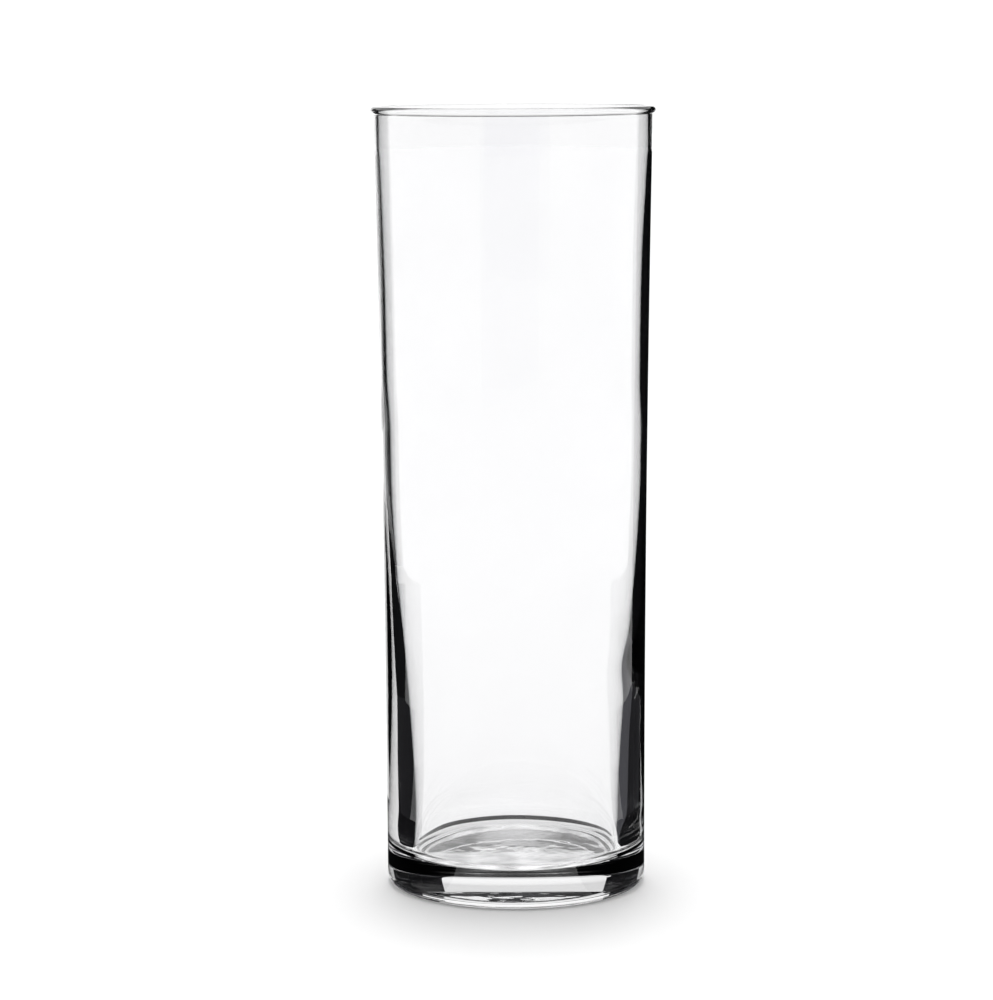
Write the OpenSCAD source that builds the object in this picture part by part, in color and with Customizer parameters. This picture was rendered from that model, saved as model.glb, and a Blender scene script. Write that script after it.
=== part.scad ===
// Clear glass cylinder vase: a tall, slightly flared side wall, a fire-polished
// bead round the mouth, and a thick foot with a shallow hollow underneath.
// It is one piece of glass with no joints. Three zones of it are drawn as
// separate solids that meet face to face. The origin is the centre of the
// ring that the vase stands on, and +Z runs up the axis.

/* [Outside] */
// Height over the rim
height = 251; // [210:1:300]
// Diameter over the bead
rim_d = 90.5; // [86:0.5:96]
// Diameter at the foot
foot_d = 83.6; // [80:0.1:86]

/* [Mouth] */
// Width of the bead, from the mouth's wall to its outside
bead_w = 2.5; // [2.4:0.1:4]
// How far the bead stands out from the wall below it
bead_proud = 1; // [0.6:0.1:1.2]
// Height of the rim zone, bead and neck together
rim_h = 4; // [3:0.5:6]
// Length of the straight mouth below the rim zone
mouth_land = 10; // [5:1:12]

/* [Wall] */
// Thickness of the wall at mid height
wall_t = 2.4; // [1.6:0.1:3.5]
// Thickness of the wall just above the floor
foot_wall_t = 8.8; // [5:0.1:10]
// Height where the wall starts to thin, going up
swell_low = 12; // [12:1:30]
// Height where the wall has thinned to its mid-height thickness
swell_high = 135; // [90:1:140]
// Height where the wall starts to thin again towards the mouth
thin_low = 185; // [145:1:185]

/* [Foot] */
// Thickness of the glass from the table to the inner floor
floor_t = 11; // [8:0.5:14]
// Radius of the hollow corner between the floor and the wall
floor_fillet = 4; // [2:0.5:4]
// Radius of the rounded heel
heel_r = 3.5; // [2:0.5:5]
// Diameter of the hollow underneath
punt_d = 62; // [40:1:66]
// Depth of the hollow underneath
punt_depth = 1.5; // [0.5:0.1:3]

/* [Hidden] */
$fn = 180;
glass = [0.88, 0.94, 0.95, 0.45];
curve_steps = 10;
wall_steps = 10;
foot_r = foot_d / 2;
bead_r = bead_w / 2;
mouth_r = rim_d / 2 - bead_w;
neck_r = rim_d / 2 - bead_proud;
neck_z = height - rim_h;
bead_z = height - bead_r;
land_z = neck_z - mouth_land;
fillet_z = floor_t + floor_fillet;
punt_r = punt_d / 2;
// A circle through the hollow's edge and its middle gives its shallow dome.
punt_dome_r = (pow(punt_r, 2) + pow(punt_depth, 2)) / (2 * punt_depth);
punt_dome_a = asin(punt_r / punt_dome_r);

// The outside widens as the square of the height.
function outer_r(z) = foot_r + (neck_r - foot_r) * pow(z / neck_z, 2);

// Smooth step from 0 to 1.
function ease(s) = (1 - cos(180 * s)) / 2;

// How far z has come from low to high, from 0 to 1.
function share(z, low, high) = min(1, max(0, (z - low) / (high - low)));

// Wall thickness: thick at the foot, even at mid height, thin below the mouth.
function swell_t(z) = foot_wall_t + (wall_t - foot_wall_t) * ease(share(z, swell_low, swell_high));
function land_t() = outer_r(land_z) - mouth_r;
function thin_t(z) = (land_t() - wall_t) * (1 - cos(90 * share(z, thin_low, land_z)));
function inner_r(z) = outer_r(z) - swell_t(z) - thin_t(z);

// Evenly spaced heights from low to high, both included.
function heights(low, high, steps) = [for (i = [0:steps]) low + (high - low) * i / steps];

// Points on an arc round [x, z], from angle a to angle b.
function arc(x, z, r, a, b, steps) =
    [for (i = [0:steps]) let (t = a + (b - a) * i / steps) [x + r * cos(t), z + r * sin(t)]];

// The bead and the short neck under it, with the mouth's straight wall inside.
module rim_bead() {
    color(glass)
    rotate_extrude() {
        translate([rim_d / 2 - bead_r, bead_z]) circle(r = bead_r);
        translate([mouth_r, neck_z]) square([neck_r - mouth_r, bead_z - neck_z]);
    }
}

// The wall from the inner floor up to the neck, with the hollow corner at its foot.
module side_wall() {
    outside = [for (z = heights(floor_t, neck_z, wall_steps)) [outer_r(z), z]];
    mouth = [[mouth_r, neck_z]];
    thinning = [for (z = heights(land_z, thin_low, wall_steps)) [inner_r(z), z]];
    swell_end = max(swell_low, fillet_z + 0.5);
    swelling = [for (z = heights(swell_high, swell_end, 2 * wall_steps)) [inner_r(z), z]];
    corner = arc(inner_r(fillet_z) - floor_fillet, fillet_z, floor_fillet, 0, -90, curve_steps);
    color(glass)
    rotate_extrude() polygon(concat(outside, mouth, thinning, swelling, corner));
}

// The solid foot: flat floor above, rounded heel, standing ring and hollow below.
module base() {
    dome_z = punt_depth - punt_dome_r;
    punt = arc(0, dome_z, punt_dome_r, 90, 90 - punt_dome_a, curve_steps);
    heel = arc(foot_r - heel_r, heel_r, heel_r, -90, 0, curve_steps);
    floor_edge = [[outer_r(floor_t), floor_t], [0, floor_t]];
    color(glass)
    rotate_extrude() polygon(concat(punt, heel, floor_edge));
}

rim_bead();
side_wall();
base();
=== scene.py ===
"""A clear glass cylinder vase on a pale floor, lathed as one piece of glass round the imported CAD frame."""

import math

import bpy
from mathutils import Euler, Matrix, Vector, noise


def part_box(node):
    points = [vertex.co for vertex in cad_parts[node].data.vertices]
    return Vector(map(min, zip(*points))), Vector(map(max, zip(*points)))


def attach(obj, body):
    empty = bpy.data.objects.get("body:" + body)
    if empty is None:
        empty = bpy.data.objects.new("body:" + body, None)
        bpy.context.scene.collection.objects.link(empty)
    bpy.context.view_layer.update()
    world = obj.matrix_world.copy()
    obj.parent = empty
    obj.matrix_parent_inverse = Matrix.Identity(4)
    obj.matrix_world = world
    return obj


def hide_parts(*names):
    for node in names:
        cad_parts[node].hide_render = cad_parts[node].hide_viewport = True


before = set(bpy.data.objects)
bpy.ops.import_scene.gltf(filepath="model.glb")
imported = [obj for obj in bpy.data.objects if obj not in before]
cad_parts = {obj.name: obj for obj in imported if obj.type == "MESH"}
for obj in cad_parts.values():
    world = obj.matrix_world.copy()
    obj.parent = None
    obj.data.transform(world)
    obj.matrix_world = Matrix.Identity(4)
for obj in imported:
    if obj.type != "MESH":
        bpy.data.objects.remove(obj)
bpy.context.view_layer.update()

MM = 0.001

# ---- sizes: the frame gives the outside, and the rest is the section of the glass ----
base_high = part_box("base")[1]
wall_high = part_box("side_wall")[1]
bead_low, bead_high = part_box("rim_bead")
HEIGHT = bead_high.z
RIM_R = bead_high.x
FOOT_R = base_high.x
FLOOR_Z = base_high.z
NECK_Z = bead_low.z
NECK_R = wall_high.x

BEAD_R = 1.25 * MM                       # radius of the bead's round section
BEAD_W = 2 * BEAD_R
BEAD_START = -77                         # degrees round the bead's section, where the outside wall meets it
MOUTH_R = RIM_R - BEAD_W
LAND_Z = NECK_Z - 10 * MM                # the straight mouth reaches down to here
FILLET = 4 * MM                          # hollow corner round the inner floor
FILLET_Z = FLOOR_Z + FILLET
HEEL = 3.5 * MM
PUNT_R = 31 * MM                         # the shallow hollow underneath
PUNT_DEPTH = 1.5 * MM
WALL_T = 2.4 * MM
FOOT_WALL_T = 8.8 * MM                   # the wall's thickness where it leaves the foot
SWELL_LOW, SWELL_HIGH = 12 * MM, 135 * MM
THIN_LOW = 185 * MM                      # the wall thins from here to the mouth
SEGMENTS = 256

# ---- the view --------------------------------------------------------------
VIEW_AZIMUTH = math.radians(225)
CAMERA_DISTANCE = 1.080
CAMERA_HEIGHT = 0.271
CAMERA_TILT = math.radians(7.70)
CAMERA_PAN = math.radians(0.31)
CAMERA_ROLL = math.radians(-0.27)
FOCAL_SHARE = 3.385                      # focal length over the frame's long side
look = Vector((-math.sin(VIEW_AZIMUTH), math.cos(VIEW_AZIMUTH), 0))
side = Vector((look.y, -look.x, 0))      # to the right in the main view
SIDE_ANGLE = math.atan2(side.y, side.x)


# ---- the section of the glass ----------------------------------------------
def share(value, low, high):
    """How far value lies from low to high, from 0 to 1."""
    return min(1, max(0, (value - low) / (high - low)))


def ease(value, low, high):
    """Grows smoothly from 0 at low to 1 at high."""
    return (1 - math.cos(math.pi * share(value, low, high))) / 2


def span(low, high, count):
    """count + 1 values from low to high."""
    return [low + (high - low) * i / count for i in range(count + 1)]


def arc(r, z, radius, start, end, count):
    """Points (radius, height) along an arc, with its angles in degrees."""
    return [(r + radius * math.cos(math.radians(a)), z + radius * math.sin(math.radians(a)))
            for a in span(start, end, count)]


def outer_r(z):
    return FOOT_R + (NECK_R - FOOT_R) * (z / NECK_Z) ** 2


def inner_r(z):
    swell = FOOT_WALL_T + (WALL_T - FOOT_WALL_T) * ease(z, SWELL_LOW, SWELL_HIGH)
    land_t = outer_r(LAND_Z) - MOUTH_R
    thin = (land_t - WALL_T) * (1 - math.cos(math.pi / 2 * share(z, THIN_LOW, LAND_Z)))
    return outer_r(z) - swell - thin


def profile():
    """(radius, height) round the section, from the middle of the underside to that of the inner floor."""
    dome_r = (PUNT_R ** 2 + PUNT_DEPTH ** 2) / (2 * PUNT_DEPTH)
    dome_a = math.degrees(math.asin(PUNT_R / dome_r))
    punt = arc(0, PUNT_DEPTH - dome_r, dome_r, 90, 90 - dome_a, 24)
    ring = [(r, 0) for r in span(PUNT_R, FOOT_R - HEEL, 4)[1:-1]]
    heel = arc(FOOT_R - HEEL, HEEL, HEEL, -90, 0, 16)
    outside = [(outer_r(z), z) for z in span(HEEL, HEIGHT - BEAD_W, 110)[1:]]
    bead = arc(RIM_R - BEAD_R, HEIGHT - BEAD_R, BEAD_R, BEAD_START, 180, 30)
    mouth = [(MOUTH_R, z) for z in span(HEIGHT - BEAD_R, LAND_Z, 8)[1:]]
    inside = [(inner_r(z), z) for z in span(LAND_Z, FILLET_Z, 130)[1:-1]]
    corner = arc(inner_r(FILLET_Z) - FILLET, FILLET_Z, FILLET, 0, -90, 16)
    floor = [(r, FLOOR_Z) for r in span(corner[-1][0], 0, 36)[1:]]
    return punt + ring + heel + outside + bead + mouth + inside + corner + floor


def lathe(name, section, shape):
    """Turns the section round Z. The first and last points are on the axis. shape moves each point."""
    verts = [shape(0, section[0][1], 0)]
    for r, z in section[1:-1]:
        for k in range(SEGMENTS):
            verts.append(shape(r, z, 2 * math.pi * k / SEGMENTS))
    verts.append(shape(0, section[-1][1], 0))
    faces = []
    rings = len(section) - 2
    first_of_top = 1 + (rings - 1) * SEGMENTS
    last = len(verts) - 1
    for k in range(SEGMENTS):
        j = (k + 1) % SEGMENTS
        faces.append((0, 1 + j, 1 + k))
        for i in range(rings - 1):
            a, b = 1 + i * SEGMENTS, 1 + (i + 1) * SEGMENTS
            faces.append((a + k, a + j, b + j, b + k))
        faces.append((first_of_top + k, first_of_top + j, last))
    mesh = bpy.data.meshes.new(name)
    mesh.from_pydata(verts, [], faces)
    mesh.polygons.foreach_set("use_smooth", [True] * len(mesh.polygons))
    mesh.update()
    piece = bpy.data.objects.new(name, mesh)
    bpy.context.scene.collection.objects.link(piece)
    return piece


# ---- the small unevenness of real glass ------------------------------------
BORE_SHIFT = 0.2 * MM        # the bore leans off the axis, to one side low down and to the other high up
BULGE = 0.6 * MM             # a thicker patch on one side, where the heavy foot runs into the wall
BULGE_Z = 72 * MM
BULGE_SPREAD = 8 * MM
WAVE = 0.03 * MM             # waviness of the inside wall
WAVES_ROUND = 2
WAVES_UP = 22                # per metre of height
RIPPLE = 0.10 * MM           # height of the ripples in the inner floor
RIPPLE_R = 29.5 * MM         # they end here
RIPPLE_FADE = 4 * MM
SWIRL = 30                   # radians of twist per metre of radius
COARSE, FINE = 150, 420      # ripples per metre
FINE_SHARE = 0.35
NEAR = 0.01 * MM


def wall_shift(x, y, r, z, a):
    """The inside wall: a bore a little off centre, a thick patch on one side and slow waves."""
    lean = 1 - 2 * ease(z, 145 * MM, 165 * MM)
    lean = lean * ease(z, 15 * MM, 25 * MM) * (1 - ease(z, 200 * MM, LAND_Z))
    x, y = x + side.x * BORE_SHIFT * lean, y + side.y * BORE_SHIFT * lean
    swollen = math.exp(-((z - BULGE_Z) / BULGE_SPREAD) ** 2) * max(0, math.cos(a - SIDE_ANGLE)) ** 4
    x, y = x * (1 - swollen * BULGE / r), y * (1 - swollen * BULGE / r)
    swing = noise.noise(Vector((WAVES_ROUND * math.cos(a), WAVES_ROUND * math.sin(a), z * WAVES_UP)))
    fade = ease(z, 18 * MM, 35 * MM) * (1 - ease(z, 215 * MM, LAND_Z))
    return x * (1 + swing * WAVE * fade / r), y * (1 + swing * WAVE * fade / r)


def floor_lift(x, y, r, a):
    """Swirled ripples in the inner floor, flat at their edge."""
    swirl = a + r * SWIRL
    coarse = noise.noise(Vector((COARSE * r * math.cos(swirl), COARSE * r * math.sin(swirl), 3)))
    fine = noise.noise(Vector((x * FINE, y * FINE, 8)))
    fade = 1 - ease(r, RIPPLE_R - RIPPLE_FADE, RIPPLE_R)
    return RIPPLE * fade * (coarse + FINE_SHARE * fine)


def hand_made(r, z, a):
    """Where the lathed point (radius, height, angle) lies on the real, slightly uneven glass."""
    x, y = r * math.cos(a), r * math.sin(a)
    if FILLET_Z < z < LAND_Z and r < outer_r(z) - 1 * MM:
        x, y = wall_shift(x, y, r, z, a)
    if abs(z - FLOOR_Z) < NEAR and r < RIPPLE_R:
        z += floor_lift(x, y, r, a)
    return (x, y, z)


# ---- material nodes --------------------------------------------------------
def add_noise(tree, scale, detail):
    """A noise texture in the object's own space."""
    where = tree.nodes.new("ShaderNodeTexCoord")
    cloud = tree.nodes.new("ShaderNodeTexNoise")
    cloud.inputs["Scale"].default_value = scale
    cloud.inputs["Detail"].default_value = detail
    tree.links.new(where.outputs["Object"], cloud.inputs["Vector"])
    return cloud.outputs["Fac"]


def add_ramp(tree, source, stops):
    """A colour ramp through (position, colour) stops."""
    ramp = tree.nodes.new("ShaderNodeValToRGB")
    while len(ramp.color_ramp.elements) < len(stops):
        ramp.color_ramp.elements.new(0.5)
    for element, (position, colour) in zip(ramp.color_ramp.elements, stops):
        element.position = position
        element.color = (*colour, 1)
    tree.links.new(source, ramp.inputs["Fac"])
    return ramp.outputs["Color"]


def add_range(tree, source, from_low, from_high, to_low, to_high):
    """Maps one range of values to another."""
    node = tree.nodes.new("ShaderNodeMapRange")
    node.inputs["From Min"].default_value = from_low
    node.inputs["From Max"].default_value = from_high
    node.inputs["To Min"].default_value = to_low
    node.inputs["To Max"].default_value = to_high
    tree.links.new(source, node.inputs["Value"])
    return node.outputs["Result"]


def add_math(tree, operation, first, second):
    """Two values joined, and kept from 0 to 1."""
    node = tree.nodes.new("ShaderNodeMath")
    node.operation = operation
    node.use_clamp = True
    tree.links.new(first, node.inputs[0])
    tree.links.new(second, node.inputs[1])
    return node.outputs[0]


def light_test(tree, output, low, high):
    """1 where a light path count lies between low and high, else 0."""
    path = tree.nodes.new("ShaderNodeLightPath")
    inside = tree.nodes.new("ShaderNodeMath")
    inside.operation = "COMPARE"
    inside.inputs[1].default_value = (low + high) / 2
    inside.inputs[2].default_value = (high - low) / 2 + 0.5
    tree.links.new(path.outputs[output], inside.inputs[0])
    return inside.outputs[0]


TINT = [(0.35, (0.926, 0.926, 0.931)), (0.65, (0.936, 0.936, 0.940))]
TINT_SCALE = 30
MOULD_SCALE = 45


def glass_material():
    """Clear glass with a trace of blue, a faint cloud in its tint and a faint waviness left by the mould."""
    mat = bpy.data.materials.new("clear_glass")
    mat.use_nodes = True
    tree = mat.node_tree
    shader = tree.nodes["Principled BSDF"]
    tree.links.new(add_ramp(tree, add_noise(tree, TINT_SCALE, 2), TINT), shader.inputs["Base Color"])
    wavy = tree.nodes.new("ShaderNodeBump")
    wavy.inputs["Strength"].default_value = 0.03
    wavy.inputs["Distance"].default_value = 0.4 * MM
    tree.links.new(add_noise(tree, MOULD_SCALE, 1), wavy.inputs["Height"])
    tree.links.new(wavy.outputs["Normal"], shader.inputs["Normal"])
    shader.inputs["Transmission Weight"].default_value = 1.0
    shader.inputs["IOR"].default_value = 1.52
    shader.inputs["Roughness"].default_value = 0.0
    return mat


def flat_material(name, colour, rough):
    mat = bpy.data.materials.new(name)
    mat.use_nodes = True
    shader = mat.node_tree.nodes["Principled BSDF"]
    shader.inputs["Base Color"].default_value = (*colour, 1)
    shader.inputs["Roughness"].default_value = rough
    shader.inputs["Specular IOR Level"].default_value = 0.0
    return mat


MANY = 99


def painted_reflection_material(name, tone, crossings=MANY, echo=False):
    """Painted dark reflection: a sheet that is dark to the glass, but clear to light that comes by way of
    the floor, and to a ray that has crossed more glass surfaces than the given number. An echo flag meets
    only the first surface's reflection and light that has gone back and forth inside a wall."""
    mat = flat_material(name, (tone, tone, tone * 1.1), 0.9)
    tree = mat.node_tree
    dark = add_math(tree, "MULTIPLY", light_test(tree, "Transmission Depth", 0, crossings),
                    light_test(tree, "Diffuse Depth", 0, 0))
    if echo:
        stray = add_math(tree, "MAXIMUM", light_test(tree, "Transmission Depth", 0, 0),
                         light_test(tree, "Glossy Depth", 2, MANY))
        dark = add_math(tree, "MULTIPLY", dark, stray)
    clear = tree.nodes.new("ShaderNodeBsdfTransparent")
    mix = tree.nodes.new("ShaderNodeMixShader")
    tree.links.new(dark, mix.inputs["Fac"])
    tree.links.new(clear.outputs[0], mix.inputs[1])
    tree.links.new(tree.nodes["Principled BSDF"].outputs[0], mix.inputs[2])
    tree.links.new(mix.outputs[0], tree.nodes["Material Output"].inputs["Surface"])
    return mat


def gathered_light_material():
    """A glowing sheet of painted light: bright and dim patches, like the light that a thick foot gathers on
    the table.
    """
    mat = flat_material("gathered_light", (0.9, 0.9, 0.9), 0.8)
    tree = mat.node_tree
    shader = tree.nodes["Principled BSDF"]
    level = add_range(tree, add_noise(tree, 90, 4), 0.38, 0.62, 0.3, 0.95)
    tree.links.new(level, shader.inputs["Emission Strength"])
    shader.inputs["Emission Color"].default_value = (1, 1, 1, 1)
    return mat


# ---- the vase --------------------------------------------------------------
glass = lathe("glass_vase", profile(), hand_made)
glass.data.materials.append(glass_material())
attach(glass, "root")
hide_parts("rim_bead", "side_wall", "base")


# ---- the floor -------------------------------------------------------------
def stage_mesh(name, verts, faces, mat):
    mesh = bpy.data.meshes.new(name)
    mesh.from_pydata(verts, [], faces)
    mesh.materials.append(mat)
    thing = bpy.data.objects.new(name, mesh)
    bpy.context.scene.collection.objects.link(thing)
    return thing


FLOOR_HALF = 12.0            # metres
FLOOR_DROP = 0.15 * MM
FLOOR_CORNERS = [(-1, -1), (1, -1), (1, 1), (-1, 1)]
stage_mesh(
    "floor",
    [(FLOOR_HALF * x, FLOOR_HALF * y, -FLOOR_DROP) for x, y in FLOOR_CORNERS],
    [(0, 1, 2, 3)],
    flat_material("pale_floor", (0.9, 0.9, 0.9), 0.8),
)


# ---- painted dark reflections: cards that only the glass sees, drawing its edges ---
# Plan points are (across, along) in millimetres: to the right of the vase, and behind it, in the main view.
def place(across, along, z):
    return side * across * MM + look * along * MM + Vector((0, 0, z * MM))


def strip(name, first, second, mat):
    """A sheet between two rows of points. Only reflected and refracted rays meet it, so it is a painted
    reflection in the glass.
    """
    verts, faces = [], []
    for i, pair in enumerate(zip(first, second)):
        verts += [tuple(place(*point)) for point in pair]
        if i:
            faces.append((2 * i - 2, 2 * i, 2 * i + 1, 2 * i - 1))
    thing = stage_mesh(name, verts, faces, mat)
    thing.visible_camera = False
    thing.visible_diffuse = False
    thing.visible_shadow = False
    return thing


ON_FLOOR = 0.5               # height in mm


def foot_sheet(name, inner, outer, mat, z=ON_FLOOR):
    """A flat sheet just over the floor, between two rows of plan points."""
    return strip(name, [(*p, z) for p in inner], [(*p, z) for p in outer], mat)


def curtain(name, points, low, high, mat):
    """An upright sheet along plan points."""
    return strip(name, [(*p, low) for p in points], [(*p, high) for p in points], mat)


def arc_sheet(name, near, far, start, end, mat, z):
    """A flat sheet over part of a ring round the vase. Angles are degrees right of straight behind."""
    turns = [math.radians(d) for d in span(start, end, 24)]
    rows = [[(r * math.sin(t), r * math.cos(t)) for t in turns] for r in (near, far)]
    return foot_sheet(name, *rows, mat, z)


# Painted reflections: dark, dim and grey sheets that only the glass sees, in place of dark surroundings in
# its reflections and refractions.
DARK = painted_reflection_material("painted_dark_reflection", 0.005)
DIM = painted_reflection_material("painted_dim_reflection", 0.06, 2)
VEIL = painted_reflection_material("painted_dark_veil", 0.006, 2)
CARD = painted_reflection_material("painted_grey_reflection", 0.8)
ECHO = painted_reflection_material("painted_echo_reflection", 0.006, echo=True)
FLAG_TOP = 330


def side_cards(name, inner, middle, outer, kept, back_end, back_low):
    """One side's cards, painted dark reflections that only the glass sees: a dark strip on the floor, a dim
    one outside it, and upright sheets beyond them.
    The dim strip uses the kept points of the middle row. back_end is where the high sheet ends."""
    foot_sheet(name, inner, middle, VEIL)
    foot_sheet(name + "_dim", [middle[i] for i in kept], outer, DIM, 0.3)
    curtain(name + "_back", [inner[-1], middle[-1]], ON_FLOOR, FLAG_TOP, VEIL)
    curtain(name + "_high", [back_end, inner[-1]], back_low, FLAG_TOP, VEIL)
    curtain(name + "_side", [middle[-1], outer[0], outer[1]], ON_FLOOR, FLAG_TOP, VEIL)


# Painted dark reflections at each side of the vase, seen only in the glass.
side_cards(
    "flag_left",
    inner=[(-50, 15), (-64, 44), (-76, 80), (-86, 108), (-106, 137), (-111, 163), (-118, 200), (-140, 250),
           (-166, 290)],
    middle=[(-96, 8), (-122, 36), (-139, 56), (-160, 88), (-178, 108), (-200, 135), (-212, 180), (-228, 230),
            (-250, 275)],
    outer=[(-300, 215), (-320, 185), (-320, 120), (-325, 60), (-325, 25)],
    kept=(8, 6, 3, 1, 0),
    back_end=(-150, 290),
    back_low=60,
)
side_cards(
    "flag_right",
    inner=[(46, 15), (46, 45), (47, 65), (52, 95), (78, 130), (103, 160), (118, 188), (140, 230),
           (165, 285)],
    middle=[(76, 12), (88, 45), (100, 65), (114, 85), (132, 120), (150, 145), (168, 180), (190, 225),
            (225, 275)],
    outer=[(300, 215), (320, 185), (320, 120), (325, 60), (325, 25)],
    kept=(8, 6, 4, 1, 0),
    back_end=(103, 285),
    back_low=45,
)
# Painted dark reflections: upright veils seen only through the glass.
curtain("veil_right_edge", [(25, 46), (110, 46)], 49, 235, VEIL)
curtain("veil_right_low", [(41, 46), (64, 46)], 0.6, 49, VEIL)

# A painted pool of light under the foot, in place of the light that the real foot gathers. Only the glass
# meets it.
arc_sheet("lit_patch", 0.2, 41, -180, 180, gathered_light_material(), -0.05)

# Painted dark reflections on the floor round the vase, seen only in the glass.
arc_sheet("echo_behind", 59, 135, -95, 95, ECHO, 0.7)
arc_sheet("echo_left", 45, 90, -138, -48, ECHO, 0.9)
arc_sheet("echo_right", 45, 90, 48, 138, ECHO, 0.9)
arc_sheet("echo_far_left", 340, 620, -71, -48, ECHO, 0.9)
arc_sheet("echo_heel_left", 39.4, 46, -142, -92, ECHO, 0.15)
arc_sheet("echo_heel_right", 39.4, 46, 92, 136, ECHO, 0.15)
arc_sheet("flag_behind", 48.5, 58, -64, 64, DARK, ON_FLOOR)
# A painted grey reflection: a card behind the camera that only the glass sees.
FRONT_CARD = [(-800, -1850), (-400, -2000), (0, -2000), (500, -1950), (1000, -1750)]
curtain("flag_front", FRONT_CARD, ON_FLOOR, 1200, CARD)

# ---- the light -------------------------------------------------------------
# Brightness of the sky that the glass sees, by the upward part of the ray's direction.
SKY = [(0.0, 1.1), (0.07, 1.1), (0.22, 0.95), (0.26, 0.76), (0.36, 0.76), (0.42, 0.85), (0.52, 0.06),
       (0.62, 0.03), (0.90, 0.03), (0.95, 0.6)]
ON_THE_FLOOR, TO_THE_CAMERA = 0.77, 1.12


def studio_sky():
    """The camera and the floor see an even white. Rays that come by the glass see the sky's brightness."""
    world = bpy.data.worlds.new("studio")
    bpy.context.scene.world = world
    world.use_nodes = True
    tree = world.node_tree
    direction = tree.nodes.new("ShaderNodeTexCoord")
    split = tree.nodes.new("ShaderNodeSeparateXYZ")
    tree.links.new(direction.outputs["Generated"], split.inputs[0])
    sky = add_ramp(tree, split.outputs["Z"], [(height, (level, level, level)) for height, level in SKY])
    path = tree.nodes.new("ShaderNodeLightPath")
    plain = add_math(tree, "MAXIMUM", path.outputs["Is Camera Ray"], path.outputs["Is Diffuse Ray"])
    plain = add_math(tree, "MAXIMUM", plain, path.outputs["Diffuse Depth"])
    even = add_range(tree, path.outputs["Is Camera Ray"], 0, 1, ON_THE_FLOOR, TO_THE_CAMERA)
    mix = tree.nodes.new("ShaderNodeMix")
    tree.links.new(plain, mix.inputs["Factor"])
    tree.links.new(sky, mix.inputs["A"])
    tree.links.new(even, mix.inputs["B"])
    back = tree.nodes["Background"]
    tree.links.new(mix.outputs["Result"], back.inputs["Strength"])
    back.inputs["Color"].default_value = (1, 1, 1, 1)


studio_sky()

# A row of soft suns, from overhead to a little behind, acts as one long narrow light that is even over the
# whole floor. It throws the soft shadow forward.
SUN_TOTAL = 1.52
SUN_WIDTH = math.radians(10)
SUN_ROW = span(-0.04, 0.24, 7)             # how far behind each sun stands, as a share of its height
for lean in SUN_ROW:
    sun_data = bpy.data.lights.new("overhead", "SUN")
    sun_data.energy = SUN_TOTAL / len(SUN_ROW)
    sun_data.angle = SUN_WIDTH
    sun = bpy.data.objects.new("overhead", sun_data)
    bpy.context.scene.collection.objects.link(sun)
    sun.rotation_euler = (look * lean + Vector((0, 0, 1))).to_track_quat("Z", "Y").to_euler()
    sun.visible_transmission = False
    sun.visible_glossy = False

# ---- the camera and the way light is followed ------------------------------
camera_data = bpy.data.cameras.new("camera")
camera_data.sensor_width = 36
camera_data.lens = FOCAL_SHARE * camera_data.sensor_width
camera = bpy.data.objects.new("camera", camera_data)
bpy.context.scene.collection.objects.link(camera)
camera.location = look * -CAMERA_DISTANCE + Vector((0, 0, CAMERA_HEIGHT))
heading = math.atan2(look.y, look.x) - math.pi / 2 + CAMERA_PAN
camera.rotation_mode = "QUATERNION"
camera.rotation_quaternion = (
    Euler((math.pi / 2 - CAMERA_TILT, 0, heading)).to_quaternion()
    @ Euler((0, 0, CAMERA_ROLL)).to_quaternion()
)
bpy.context.scene.camera = camera
bpy.context.scene.view_settings.view_transform = "Standard"
bpy.context.scene.cycles.max_bounces = 32
bpy.context.scene.cycles.transmission_bounces = 24
bpy.context.scene.cycles.glossy_bounces = 7
